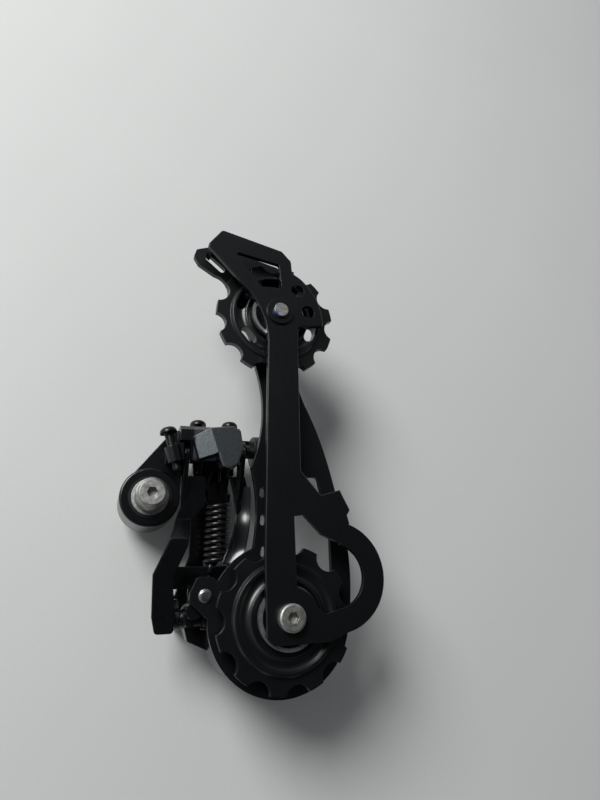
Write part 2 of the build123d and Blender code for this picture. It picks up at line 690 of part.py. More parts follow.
with BuildPart() as outer_cage_plate:
    with BuildSketch(Plane.XY.offset(outer_bottom)) as disc_outline:
        with Locations(guide):
            Circle(disc_radius)
        # Arm from the disc up to the tension pulley and its nose.
        with BuildLine():
            front = Polyline(*around(guide, (-9.4, 12.0), (-9.1, 18.3)))
            waist = ThreePointArc(front @ 1, *around(guide, (-7.2, 30.2), (-8.6, 47.5)))
            chest = ThreePointArc(waist @ 1, *around(guide, (-4.6, 62.0), (-6.3, 83.3)))
            chin = Polyline(chest @ 1, *around(tension, (-8.6, -5.0), (-13.0, 4.0), (-16.2, 10.5)))
            lip = ThreePointArc(chin @ 1, *around(tension, (-17.4, 15.4), (-21.4, 17.9)))
            brow = Polyline(lip @ 1, *around(tension, (-27.2, 21.6), (-28.9, 24.6), (-28.0, 27.6),
                                             (-21.0, 30.2), (-12.4, 28.4), (2.8, 24.6), (6.4, 21.0),
                                             (6.9, 10.0), (8.2, 0.0)))
            nape = Polyline(brow @ 1, *around(guide, (8.6, 78.0), (11.0, 71.0)))
            rear = Spline(nape @ 1, *around(guide, (18.8, 49.0), (20.8, 40.3), (24.0, 22.0),
                                            (24.2, 9.0), (22.4, -4.2)))
            Line(rear @ 1, guide)
            Line(guide, front @ 0)
        make_face()
        tip_edge = tension[1] + 18
        fillet(disc_outline.vertices().filter_by(lambda corner: corner.Y > tip_edge), 1.2)
        # Ear for the stop pin.
        with BuildLine():
            FilletPolyline((stop_x - 4.6, stop_y + 1.0), (stop_x - 2.4, stop_y + 5.6),
                           (stop_x + 2.4, stop_y + 5.4), (stop_x + 7.0, stop_y + 1.6),
                           (guide_x - 14, guide_y + 6.0), (guide_x - 16, guide_y - 8.0),
                           (stop_x + 1.0, stop_y - 6.8), (stop_x - 4.8, stop_y - 1.6),
                           radius=1.5, close=True)
        make_face()
        # Window between the disc and the rear strip.
        with BuildLine():
            FilletPolyline(*around(guide, (0.0, 17.9), (6.6, 16.7), (12.6, 12.8), (17.8, 12.4),
                                   (18.0, 24.0), (16.4, 36.0), (14.6, 44.6), (10.4, 44.6),
                                   (1.0, 38.0)), radius=1.0, close=True)
        make_face(mode=Mode.SUBTRACT)
        # Long light slot in the nose.
        with Locations((tension[0] - 21.1, tension[1] + 22.6)):
            SlotOverall(9.0, 2.4, rotation=-41, mode=Mode.SUBTRACT)
        # Small round holes along the front edge of the arm.
        with Locations(*[(guide_x - 5.0, guide_y + rise) for rise in (20.0, 30.0, 39.0)]):
            SlotOverall(3.4, 1.9, rotation=80, mode=Mode.SUBTRACT)
    extrude(amount=outer_plate_thickness)
    with BuildSketch(Plane.XY.offset(outer_bottom)):
        with Locations(guide, tension):
            Circle(pulley_bolt_radius)
        with Locations((p_axle_x, p_axle_y)):
            Circle(p_axle_radius)
        with Locations((stop_x, stop_y)):
            Circle(stop_pin_radius)
    extrude(amount=outer_plate_thickness, mode=Mode.SUBTRACT)
finish(outer_cage_plate, "outer_cage_plate")

with BuildPart() as stop_pin:
    with BuildSketch(Plane.XY.offset(outer_bottom - 5.2)):
        with Locations((stop_x, stop_y)):
            Circle(stop_pin_radius)
    extrude(amount=outer_plate_thickness + 5.8)
    fillet(stop_pin.edges().sort_by(Axis.Z)[-1], 0.4)
finish(stop_pin, "stop_pin")

# ---- inner cage plate, with its hook and folded nose ---------------------------------
end_radius = 7.4
hook_center = (guide_x + 14.7, guide_y + 11.5)
hook_outer = 16.7
hook_inner = 9.7
window_ring = 8.9
plate_edge_break = 0.25

with BuildPart() as inner_cage_plate:
    with BuildSketch(Plane.XY.offset(inner_bottom)) as plate_outline:
        with Locations(guide):
            Circle(end_radius)
        # Bar between the two pulleys, with the nose and the rear lobe at its end.
        with BuildLine():
            front = Polyline(*around(guide, (-end_radius, 0.0), (-end_radius, 17.0)),
                             *around(tension, (-4.6, -13.4)))
            neck = ThreePointArc(front @ 1, *around(tension, (-6.2, -1.6), (-10.8, 7.0)))
            nose = Polyline(neck @ 1, *around(tension, (-25.7, 23.4), (-20.4, 30.4), (1.6, 25.2),
                                              (5.0, 21.4), (5.2, 16.6), (8.4, 14.6)))
            lobe = ThreePointArc(nose @ 1, *around(tension, (13.7, 7.6), (16.0, -3.6)))
            rear = Polyline(lobe @ 1, *around(tension, (6.8, -5.2), (6.2, -13.0)),
                            *around(guide, (5.2, 44.3), (11.6, 36.5), (18.3, 38.3), (21.4, 31.8),
                                    (20.2, 30.0), (20.8, 27.5), (10.0, 8.0), (7.0, 0.0)))
            Line(rear @ 1, front @ 0)
        make_face()
        nose_edge = tension[1] + 18
        nose_corners = plate_outline.vertices().filter_by(lambda corner: corner.Y > nose_edge)
        fillet(nose_corners, 1.4)
        # Hook round the rear of the guide pulley.
        with Locations(hook_center):
            Circle(hook_outer)
            Circle(hook_inner, mode=Mode.SUBTRACT)
        with BuildLine():
            Polyline(guide, *around(guide, (0, -end_radius), (12.0, -7.2)),
                     *around(hook_center, (7.8, -14.7), (5.8, -8.5), (2.7, -9.7), (-3.7, -11.1),
                             (-6.3, -9.5)), close=True)
        make_face()
        # Window inside the hook.
        with BuildLine():
            Polyline(*around(guide, (2.3, window_ring)),
                     *around(hook_center, (-12.4, 18.3), (-9.3, 18.7), (-6.0, 15.2), (-3.5, 12.5),
                             (2.4, 9.9), (4.3, -8.7), (-3.5, -10.9), (-6.3, -8.7)), close=True)
        make_face(mode=Mode.SUBTRACT)
        with Locations(guide):
            Circle(window_ring)
        with Locations((guide_x - 16.0, guide_y)):
            Rectangle(17.2, 40, mode=Mode.SUBTRACT)
        with Locations((guide_x, guide_y - 12.4)):
            Rectangle(16, 10, mode=Mode.SUBTRACT)
        # Triangular window in the nose.
        with BuildLine():
            FilletPolyline(*around(tension, (-16.4, 22.3), (0.4, 19.3), (1.0, 9.6), (-6.4, 9.2)),
                           radius=0.9, close=True)
        make_face(mode=Mode.SUBTRACT)
        # Two round holes in the rear lobe.
        with Locations(*around(tension, (7.0, 9.4), (10.6, 1.3))):
            Circle(2.4, mode=Mode.SUBTRACT)
    extrude(amount=inner_plate_thickness)
    rim = inner_cage_plate.faces().sort_by(Axis.Z)[-1].outer_wire().edges()
    chamfer(rim.filter_by(lambda edge: edge.center().Y > guide_y + 30), plate_edge_break)
    # Raised ring round the tension bolt.
    with BuildSketch(Plane.XY.offset(inner_top)):
        with Locations(tension):
            Circle(4.8)
    extrude(amount=0.8)
    # Folded wall at the nose, down to the outer plate.
    fold = Plane(origin=(tension[0] - 25.7, tension[1] + 23.4, outer_top),
                 x_dir=(5.3, 7.0, 0), z_dir=(7.0, -5.3, 0))
    with BuildSketch(fold):
        with Locations((1.4, 0)):
            Rectangle(6.0, inner_top - plate_edge_break - outer_top, align=(Align.MIN, Align.MIN))
    extrude(amount=inner_plate_thickness)
    with BuildSketch(Plane.XY.offset(inner_bottom)):
        with Locations(guide, tension):
            Circle(pulley_bolt_radius)
    extrude(amount=inner_plate_thickness + 2, mode=Mode.SUBTRACT)
finish(inner_cage_plate, "inner_cage_plate")

# ---- pulleys ---------------------------------------------------------------------------
bore_radius = sleeve_radius + running_gap
half_body = pulley_body_width / 2
cap_recess_inner = cap_radius - 2.4
cap_recess_outer = cap_radius + 1.4
recess_floor = half_body - 1.2
hole_circle = 13.3
dish_middle = (cap_recess_outer + pulley_rim_radius) / 2 - 0.4
dish_depth = 0.9
guide_turn = 16.4
tension_turn = 26.7


def pulley(label, center, holes, turn, hole_turn):
    """A moulded jockey wheel: toothed ring, dished body and lightening holes."""
    axle = Plane(origin=(*center, chain_line), x_dir=(1, 0, 0), z_dir=(0, -1, 0))
    with BuildPart() as wheel:
        with BuildSketch(Plane.XY.offset(chain_line - tooth_width / 2)):
            with Locations(center):
                Circle(tip_radius)
                Circle(cap_recess_outer, mode=Mode.SUBTRACT)
                with PolarLocations(pitch_radius, pulley_teeth, start_angle=turn):
                    Circle(roller_radius, mode=Mode.SUBTRACT)
        extrude(amount=tooth_width)
        # Body turned about the axle: a hub, a recess for the dust cap and a dished web.
        with BuildSketch(axle):
            with BuildLine():
                hub = Polyline((bore_radius, 0), (bore_radius, half_body), (cap_recess_inner, half_body),
                               (cap_recess_inner, recess_floor), (cap_recess_outer, recess_floor),
                               (cap_recess_outer, half_body), (cap_recess_outer + 0.5, half_body))
                dish = ThreePointArc(hub @ 1, (dish_middle, half_body - dish_depth),
                                     (pulley_rim_radius - 1.6, half_body - 0.1))
                Polyline(dish @ 1, (pulley_rim_radius - 0.6, half_body - 0.1),
                         (pulley_rim_radius, tooth_width / 2 + 0.5), (pulley_rim_radius, 0),
                         (bore_radius, 0))
            make_face()
            mirror(about=Plane.XZ)
        revolve(axis=Axis((*center, 0), (0, 0, 1)))
        if holes:
            with BuildSketch(Plane.XY.offset(chain_line - half_body)):
                with Locations(center):
                    with PolarLocations(hole_circle, holes, start_angle=hole_turn):
                        SlotOverall(7.0, 3.4, rotation=90)
            extrude(amount=pulley_body_width, mode=Mode.SUBTRACT)
    finish(wheel, label)


pulley("guide_pulley", guide, 0, guide_turn, 0)
pulley("tension_pulley", tension, 6, tension_turn, 38.0)

for name, center in (("guide", guide), ("tension", tension)):
    with BuildPart() as sleeve:
        with BuildSketch(Plane.XY.offset(outer_top + cap_thickness)):
            with Locations(center):
                Circle(sleeve_radius)
                Circle(pulley_bolt_radius, mode=Mode.SUBTRACT)
        extrude(amount=cage_gap - 2 * cap_thickness)
    finish(sleeve, f"{name}_sleeve")
    with BuildPart() as caps:
        for face, way in ((inner_bottom, -1), (outer_top, 1)):
            with BuildSketch(Plane.XY.offset(face)):
                with Locations(center):
                    Circle(cap_radius)
                    Circle(pulley_bolt_radius, mode=Mode.SUBTRACT)
            extrude(amount=way * cap_thickness)
            with BuildSketch(Plane.XY.offset(face)):
                with Locations(center):
                    Circle(cap_radius)
                    Circle(cap_radius - cap_thickness, mode=Mode.SUBTRACT)
            extrude(amount=way * 1.5)
    finish(caps, f"{name}_caps")

# ---- pulley bolts ------------------------------------------------------------------------
with BuildPart() as guide_bolt:
    with BuildSketch(Plane.XY.offset(inner_top)):
        with Locations(guide):
            Circle(bolt_head_radius)
    extrude(amount=bolt_head_height)
    fillet(guide_bolt.edges().sort_by(Axis.Z)[-1], 0.7)
    with BuildSketch(Plane.XY.offset(outer_bottom + 0.1)):
        with Locations(guide):
            Circle(pulley_bolt_radius)
    extrude(amount=inner_top - outer_bottom - 0.1)
    with BuildSketch(Plane.XY.offset(inner_top + bolt_head_height)):
        with Locations(guide):
            RegularPolygon(hex_across_flats / 2, 6, major_radius=False)
    extrude(amount=-2.0, mode=Mode.SUBTRACT)
finish(guide_bolt, "guide_bolt")

with BuildPart() as tension_bolt:
    with BuildSketch(Plane.XY.offset(outer_bottom)):
        with Locations(tension):
            Circle(bolt_head_radius)
    extrude(amount=-bolt_head_height)
    fillet(tension_bolt.edges().sort_by(Axis.Z)[0], 0.7)
    with BuildSketch(Plane.XY.offset(outer_bottom)):
        with Locations(tension):
            Circle(pulley_bolt_radius)
    extrude(amount=inner_top + 2.0 - outer_bottom)
    with BuildSketch(Plane.XY.offset(outer_bottom - bolt_head_height)):
        with Locations(tension):
            RegularPolygon(hex_across_flats / 2, 6, major_radius=False)
    extrude(amount=2.0, mode=Mode.SUBTRACT)
finish(tension_bolt, "tension_bolt")

# ---- return spring ---------------------------------------------------------------------
hook_low = Vector(*LINK_UP) * (bar_top - 2.4) + Vector(*LINK_IN) * (-web_depth - 3.0)
spring_foot = Vector(spring_x, pivot_y, pivot_z) + hook_low
spring_eye = Vector(spring_x, pivot_y, outer_pivot_z - pivot_pin_radius - spring_wire)
spring_axis = (spring_eye - spring_foot).normalized()
coil_length = 21.0
coil_start = spring_foot + spring_axis * 4.0

with BuildPart() as return_spring:
    with BuildLine() as coil:
        Helix(pitch=coil_length / spring_turns, height=coil_length, radius=spring_radius,
              center=coil_start, direction=spring_axis)
    with BuildSketch(Plane(origin=coil.line @ 0, z_dir=coil.line % 0)):
        Circle(spring_wire / 2)
    sweep(path=coil.line, is_frenet=True)
finish(return_spring, "return_spring")

# ---- cable anchor and barrel adjuster ---------------------------------------------------
fin_bottom = -8.5
with BuildPart() as anchor_washer:
    with BuildSketch(Plane.XY.offset(fin_bottom)):
        with Locations(anchor):
            Circle(4.4)
            Circle(pulley_bolt_radius + running_gap, mode=Mode.SUBTRACT)
    extrude(amount=-1.2)
finish(anchor_washer, "anchor_washer")

with BuildPart() as anchor_bolt:
    with BuildSketch(Plane.XY.offset(fin_bottom - 1.2)):
        with Locations(anchor):
            Circle(bolt_head_radius)
    extrude(amount=-3.0)
    fillet(anchor_bolt.edges().sort_by(Axis.Z)[0], 0.6)
    with BuildSketch(Plane.XY.offset(fin_bottom - 1.2)):
        with Locations(anchor):
            Circle(pulley_bolt_radius)
    extrude(amount=5.7)
    with BuildSketch(Plane.XY.offset(fin_bottom - 4.2)):
        with Locations(anchor):
            RegularPolygon(2.0, 6, major_radius=False)
    extrude(amount=2.4, mode=Mode.SUBTRACT)
finish(anchor_bolt, "anchor_bolt")

barrel_start = block_right + barrel_boss_length + 2.6
with BuildPart() as barrel_adjuster:
    with BuildSketch(Plane.YZ.offset(barrel_start)):
        with Locations((barrel_y, barrel_z)):
            Circle(barrel_radius)
    extrude(amount=barrel_length)
    chamfer(barrel_adjuster.edges().filter_by(GeomType.CIRCLE), 0.5)
    with BuildSketch(Plane.YZ.offset(barrel_start + 4)):
        with Locations((barrel_y, barrel_z)):
            with PolarLocations(barrel_radius + 0.5, 14):
                Circle(0.8)
    extrude(amount=barrel_length - 4, mode=Mode.SUBTRACT)
    with BuildSketch(Plane.YZ.offset(barrel_start + barrel_length)):
        with Locations((barrel_y, barrel_z)):
            Circle(housing_bore_radius)
    extrude(amount=-housing_bore_depth, mode=Mode.SUBTRACT)
    with BuildSketch(Plane.YZ.offset(barrel_start)):
        with Locations((barrel_y, barrel_z)):
            Circle(0.9)
    extrude(amount=barrel_length, mode=Mode.SUBTRACT)
    with BuildSketch(Plane.YZ.offset(block_right + 0.3)):
        with Locations((barrel_y, barrel_z)):
            Circle(barrel_shank_radius)
            Circle(0.9, mode=Mode.SUBTRACT)
    extrude(amount=barrel_start - block_right - 0.3)
finish(barrel_adjuster, "barrel_adjuster")
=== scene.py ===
import json
import math

import bpy
import numpy as np
from bpy.props import FloatProperty, FloatVectorProperty, IntProperty, PointerProperty
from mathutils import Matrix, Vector


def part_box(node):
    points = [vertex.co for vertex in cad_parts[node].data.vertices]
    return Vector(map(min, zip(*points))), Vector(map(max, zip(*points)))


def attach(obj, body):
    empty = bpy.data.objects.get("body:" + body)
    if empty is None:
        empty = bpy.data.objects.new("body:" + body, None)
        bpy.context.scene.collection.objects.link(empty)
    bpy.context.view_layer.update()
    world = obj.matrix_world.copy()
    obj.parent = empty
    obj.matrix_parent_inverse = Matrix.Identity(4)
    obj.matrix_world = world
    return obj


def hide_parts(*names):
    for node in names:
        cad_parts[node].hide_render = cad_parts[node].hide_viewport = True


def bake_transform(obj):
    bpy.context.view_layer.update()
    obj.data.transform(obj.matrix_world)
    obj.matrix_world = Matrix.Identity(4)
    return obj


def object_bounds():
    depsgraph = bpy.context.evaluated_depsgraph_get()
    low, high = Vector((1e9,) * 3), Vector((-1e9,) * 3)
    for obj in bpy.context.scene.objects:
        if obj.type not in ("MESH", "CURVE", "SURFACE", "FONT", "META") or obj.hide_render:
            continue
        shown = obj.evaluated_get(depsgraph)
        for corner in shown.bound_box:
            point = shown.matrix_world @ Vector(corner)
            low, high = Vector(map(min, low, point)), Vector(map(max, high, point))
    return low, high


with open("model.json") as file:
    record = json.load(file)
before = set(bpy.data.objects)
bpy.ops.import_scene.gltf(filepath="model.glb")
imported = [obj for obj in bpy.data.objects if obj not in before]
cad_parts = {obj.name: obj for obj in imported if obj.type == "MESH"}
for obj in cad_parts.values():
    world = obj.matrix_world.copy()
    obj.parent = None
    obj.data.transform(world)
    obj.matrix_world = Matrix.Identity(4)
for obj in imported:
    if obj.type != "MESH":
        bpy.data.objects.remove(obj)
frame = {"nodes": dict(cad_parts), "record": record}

bl_info = {
    "name": "Rear derailleur finish",
    "version": (1, 0, 0),
    "blender": (4, 5, 0),
    "location": "3D View > Sidebar > Derailleur",
    "description": "Finishes, return spring, bench and light for a rear derailleur",
    "category": "Object",
}

MM = 0.001
CAD_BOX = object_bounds()


# ---- Values that a user would change ------------------------------------------


def linear(code):
    """The linear red, green and blue of a hexadecimal sRGB colour."""
    parts = [int(code[i:i + 2], 16) / 255 for i in (1, 3, 5)]
    return tuple(c / 12.92 if c <= 0.04045 else ((c + 0.055) / 1.055) ** 2.4 for c in parts)


def colour(label, told, code):
    """A colour property whose default is a hexadecimal sRGB colour."""
    return FloatVectorProperty(name=label, description=told, subtype="COLOR", size=3,
                               min=0.0, max=1.0, default=linear(code))


def length(label, told, millimetres):
    """A length property in metres whose default is given in millimetres."""
    return FloatProperty(name=label, description=told, unit="LENGTH", precision=5,
                         default=millimetres * MM)


class FinishColours(bpy.types.PropertyGroup):
    coat: colour("Electrocoat", "Black electrocoat of the cage plates", "#090b0d")
    enamel: colour("Enamel", "Black gloss enamel of the two links", "#040507")
    knuckle: colour("Knuckle paint", "Black paint on the cast knuckles", "#07080a")
    bare: colour("Machined aluminium", "Grey tumbled aluminium of the nose", "#505456")
    zinc: colour("Zinc plate", "Zinc on bolts and pins", "#bcbdb8")
    oxide: colour("Black oxide", "Black oxide on the adjusting screws", "#0a0a0b")
    wire: colour("Spring wire", "Black enamelled spring wire", "#08080a")
    nylon: colour("Nylon", "Black glass-filled nylon of the pulleys", "#090b0c")
    steel: colour("Stainless steel", "Bright dust caps and sleeves", "#b4b6b6")
    acetal: colour("Acetal", "Dark acetal bushing and seal", "#0c0d0e")
    locker: colour("Threadlocker", "Blue dry threadlocker on the bolt's end", "#1d4f9c")
    bench: colour("Bench", "Pale grey laminate under the part", "#d2d3d1")


class SpringSizes(bpy.types.PropertyGroup):
    wire: length("Wire", "Diameter of the spring wire", 1.4)
    mean: length("Mean radius", "Radius of the coil's centre line", 3.8)
    turns: IntProperty(name="Turns", description="Number of turns in the coil", default=10, min=3)


class ThreadSizes(bpy.types.PropertyGroup):
    hanger_pitch: length("Hanger pitch", "Pitch of the mounting bolt's M10 thread", 1.0)
    screw_pitch: length("Screw pitch", "Pitch of the M3 adjusting screws", 0.5)
    crest: length("Crest", "How far a thread's crest stands out from its shank", 0.13)
    hanger_root: length("Hanger root", "Root radius of the mounting bolt's thread", 4.4)
    hanger_crest: length("Hanger crest", "How far the mounting bolt's crest stands out", 0.7)
    hanger_core: length("Hanger core", "Radius of the mounting bolt's solid shank", 4.99)
    face: length("Bolt face", "Radius of the flat end of the mounting bolt", 3.95)
    socket: length("Socket", "Half the width across the flats of the mounting bolt's socket", 2.0)
    shank: length("Shank", "Root radius of an adjusting screw's thread", 1.42)
    head: length("Screw head", "Radius of an adjusting screw's domed head", 2.85)
    rise: length("Head height", "Height of an adjusting screw's domed head", 2.1)
    b_screw: length("B-tension screw", "Length of the B-tension screw with its head", 15.3)


class StageSizes(bpy.types.PropertyGroup):
    lens: FloatProperty(name="Lens", description="Focal length in mm on a 36 mm high sensor",
                        default=26.1, min=5.0)
    gap: length("Bench gap", "Space between the part and the bench", 0.2)
    bench: length("Bench size", "Side of the square bench", 3000.0)
    key: FloatProperty(name="Key lamp", description="Power of the large soft lamp in watts",
                       default=11.0, min=0.0)
    fill: FloatProperty(name="Fill", description="Strength of the room's even light",
                        default=0.3, min=0.0)


# ---- Shader helpers --------------------------------------------------------------


def add(tree, kind, inputs=None, **settings):
    """Adds one shader node with its settings, and with input values or links by socket name."""
    made = tree.nodes.new(kind)
    for key, value in settings.items():
        setattr(made, key, value)
    for key, value in (inputs or {}).items():
        socket = made.inputs[key]
        if isinstance(value, bpy.types.NodeSocket):
            tree.links.new(value, socket)
        else:
            socket.default_value = value
    return made


def rgba(value):
    """A colour property as four numbers."""
    return (*value, 1.0)


def shade(value, factor):
    """A colour made darker or lighter by a factor."""
    return (*[min(1.0, c * factor) for c in value], 1.0)


def begin(name):
    """A material with a Principled shader, and its object coordinates."""
    made = bpy.data.materials.new(name)
    made.use_nodes = True
    tree = made.node_tree
    tree.nodes.clear()
    shader = add(tree, "ShaderNodeBsdfPrincipled")
    out = add(tree, "ShaderNodeOutputMaterial")
    tree.links.new(shader.outputs["BSDF"], out.inputs["Surface"])
    place = add(tree, "ShaderNodeTexCoord").outputs["Object"]
    return made, tree, shader, place


def grain(tree, place, size, detail=3.0, rough=0.5):
    """Noise whose lumps are about size metres across."""
    return add(tree, "ShaderNodeTexNoise",
               {"Vector": place, "Scale": 0.7 / size, "Detail": detail, "Roughness": rough})


def between(tree, factor, low, high, start=0.0, end=1.0):
    """A number that goes from low to high as factor goes from start to end."""
    return add(tree, "ShaderNodeMapRange",
               {"Value": factor, "From Min": start, "From Max": end,
                "To Min": low, "To Max": high}).outputs["Result"]


def times(tree, first, second):
    """The product of two numbers."""
    return add(tree, "ShaderNodeMath", {0: first, 1: second}, operation="MULTIPLY").outputs[0]


def tint(tree, factor, dark, light, low=0.3, high=0.7):
    """A colour ramp between two colours."""
    ramp = add(tree, "ShaderNodeValToRGB", {"Fac": factor})
    ramp.color_ramp.elements[0].position = low
    ramp.color_ramp.elements[0].color = dark
    ramp.color_ramp.elements[1].position = high
    ramp.color_ramp.elements[1].color = light
    return ramp.outputs["Color"]


def soft_edges(tree, radius):
    """The normal of edges rounded to a radius in metres, and a mask that is 1 on those edges."""
    round_normal = add(tree, "ShaderNodeBevel", {"Radius": radius}, samples=6).outputs["Normal"]
    flat_normal = add(tree, "ShaderNodeNewGeometry").outputs["Normal"]
    match = add(tree, "ShaderNodeVectorMath", {0: round_normal, 1: flat_normal},
                operation="DOT_PRODUCT")
    return round_normal, between(tree, match.outputs["Value"], 1.0, 0.0, 0.8, 0.985)


def raise_surface(tree, shader, height, depth, strength=1.0, normal=None):
    """Joins a bump of the given depth in metres to the shader, on top of a normal if one is given."""
    inputs = {"Height": height, "Distance": depth, "Strength": strength}
    if normal is not None:
        inputs["Normal"] = normal
    bump = add(tree, "ShaderNodeBump", inputs)
    tree.links.new(bump.outputs["Normal"], shader.inputs["Normal"])


def overlay(tree, factor, under, over):
    """One colour over another, by a factor from 0 to 1."""
    mix = add(tree, "ShaderNodeMix", {"Factor": factor}, data_type="RGBA")
    for socket, value in ((mix.inputs[6], under), (mix.inputs[7], over)):
        if isinstance(value, bpy.types.NodeSocket):
            tree.links.new(value, socket)
        else:
            socket.default_value = value
    return mix.outputs[2]


def join(tree, value, socket):
    """Links an output to an input."""
    tree.links.new(value, socket)


# ---- Materials -------------------------------------------------------------------


def electrocoated_steel(look):
    """Pressed steel with black electrocoat: an even satin film, paler over cut edges, partly where it is
    rubbed thin and partly as a painted edge highlight.
    """
    made, tree, shader, place = begin("electrocoated steel")
    peel = grain(tree, place, 0.45 * MM, 2.0)
    clouds = grain(tree, place, 9.0 * MM, 3.0)
    # Rubs run along the plate, so their grain is stretched along Y.
    stretched = add(tree, "ShaderNodeMapping", {"Vector": place, "Scale": (1.0, 0.06, 1.0)})
    rubs = grain(tree, stretched.outputs["Vector"], 0.35 * MM, 4.0, 0.7)
    round_normal, edge = soft_edges(tree, 0.22 * MM)
    film = tint(tree, clouds.outputs["Fac"], shade(look.coat, 0.8), shade(look.coat, 1.25))
    # The cut edges are painted paler: partly rubbed wear, partly a painted edge highlight.
    rubbed_edges_and_sheen = times(tree, edge, between(tree, rubs.outputs["Fac"], 0.1, 0.6, 0.35, 0.65))
    join(tree, overlay(tree, rubbed_edges_and_sheen, film, shade(look.coat, 9.0)), shader.inputs["Base Color"])
    both = times(tree, clouds.outputs["Fac"], rubs.outputs["Fac"])
    join(tree, between(tree, both, 0.36, 0.26, 0.15, 0.4), shader.inputs["Roughness"])
    raise_surface(tree, shader, peel.outputs["Fac"], 0.006 * MM, normal=round_normal)
    shader.inputs["Specular IOR Level"].default_value = 0.4
    return made


def enamelled_steel(look):
    """Pressed steel with stoved gloss enamel: deep black, wet highlights, a slow ripple, and a painted
    highlight along its edges.
    """
    made, tree, shader, place = begin("enamelled steel")
    ripple = grain(tree, place, 3.2 * MM, 1.0)
    film_depth = grain(tree, place, 1.6 * MM, 2.0)
    round_normal, edge = soft_edges(tree, 0.7 * MM)
    film = tint(tree, film_depth.outputs["Fac"], shade(look.enamel, 0.85), shade(look.enamel, 1.3))
    # The edges are painted paler, a painted edge highlight.
    join(tree, overlay(tree, between(tree, edge, 0.0, 0.35), film, shade(look.enamel, 6.0)),
         shader.inputs["Base Color"])
    join(tree, between(tree, film_depth.outputs["Fac"], 0.2, 0.25, 0.35, 0.75), shader.inputs["Roughness"])
    raise_surface(tree, shader, ripple.outputs["Fac"], 0.05 * MM, 0.6, round_normal)
    shader.inputs["Coat Weight"].default_value = 0.35
    shader.inputs["Coat Roughness"].default_value = 0.14
    return made


def painted_casting(look, name="painted cast aluminium", bare=None):
    """Die-cast aluminium in black paint: a fine pebble from the die under a satin film, with a painted
    highlight along its edges.
    """
    made, tree, shader, place = begin(name)
    pebble = grain(tree, place, 0.4 * MM, 3.0)
    clouds = grain(tree, place, 5.0 * MM, 2.0)
    round_normal, edge = soft_edges(tree, 0.3 * MM)
    film = tint(tree, clouds.outputs["Fac"], shade(look.knuckle, 0.8), shade(look.knuckle, 1.3))
    # The edges are painted paler, a painted edge highlight.
    paint_and_edge_highlight = overlay(tree, between(tree, edge, 0.0, 0.5), film, shade(look.knuckle, 5.0))
    gloss = between(tree, pebble.outputs["Fac"], 0.18, 0.28)
    if bare is None:
        join(tree, paint_and_edge_highlight, shader.inputs["Base Color"])
        join(tree, gloss, shader.inputs["Roughness"])
    else:
        mask, painted_lit_facet = tumbled_nose(tree, place, pebble, bare)
        metal = tint(tree, pebble.outputs["Fac"], shade(look.bare, 0.65), shade(look.bare, 1.0))
        # The steeper facet in front gets a lighter copy of the bare metal, a painted highlight where it
        # faces the lamp.
        light = tint(tree, pebble.outputs["Fac"], shade(look.bare, 1.1), shade(look.bare, 1.6))
        join(tree, overlay(tree, mask, paint_and_edge_highlight, overlay(tree, painted_lit_facet, metal, light)),
             shader.inputs["Base Color"])
        join(tree, between(tree, mask, 0.0, 0.7), shader.inputs["Metallic"])
        level = add(tree, "ShaderNodeMix", {"Factor": mask}, data_type="FLOAT")
        join(tree, gloss, level.inputs[2])
        level.inputs[3].default_value = 0.42
        join(tree, level.outputs[0], shader.inputs["Roughness"])
    raise_surface(tree, shader, pebble.outputs["Fac"], 0.01 * MM, normal=round_normal)
    return made


def tumbled_nose(tree, place, pebble, bare):
    """Masks of the tumbled nose: all of its upward facets, and the steeper facet in front, which is painted
    lighter as a painted highlight.
    """
    low_x, low_z = bare
    parts = add(tree, "ShaderNodeSeparateXYZ", {"Vector": place})
    facing = add(tree, "ShaderNodeSeparateXYZ",
                 {"Vector": add(tree, "ShaderNodeNewGeometry").outputs["Normal"]})
    across = between(tree, parts.outputs["X"], 0.0, 1.0, low_x, low_x + 0.5 * MM)
    up = between(tree, parts.outputs["Z"], 0.0, 1.0, low_z, low_z + 0.4 * MM)
    level = between(tree, facing.outputs["Z"], 0.0, 1.0, 0.6, 0.75)
    worn = between(tree, pebble.outputs["Fac"], 0.8, 1.0, 0.3, 0.5)
    mask = across
    for other in (up, level, worn):
        mask = times(tree, mask, other)
    return mask, between(tree, facing.outputs["Z"], 1.0, 0.0, 0.96, 0.99)


def rings(tree, place, centre, pitch):
    """Turning marks, a zigzag from 0 to 1 of the distance from an axis along Z through centre, and
    that distance itself."""
    moved = add(tree, "ShaderNodeMapping", {"Vector": place, "Location": (-centre[0], -centre[1], 0)})
    flat = add(tree, "ShaderNodeVectorMath", {0: moved.outputs["Vector"], 1: (1.0, 1.0, 0.0)},
               operation="MULTIPLY")
    away = add(tree, "ShaderNodeVectorMath", {0: flat.outputs["Vector"]}, operation="LENGTH")
    wave = add(tree, "ShaderNodeMath", {0: away.outputs["Value"], 1: pitch}, operation="PINGPONG")
    return between(tree, wave.outputs[0], 0.0, 1.0, 0.0, pitch), away.outputs["Value"]


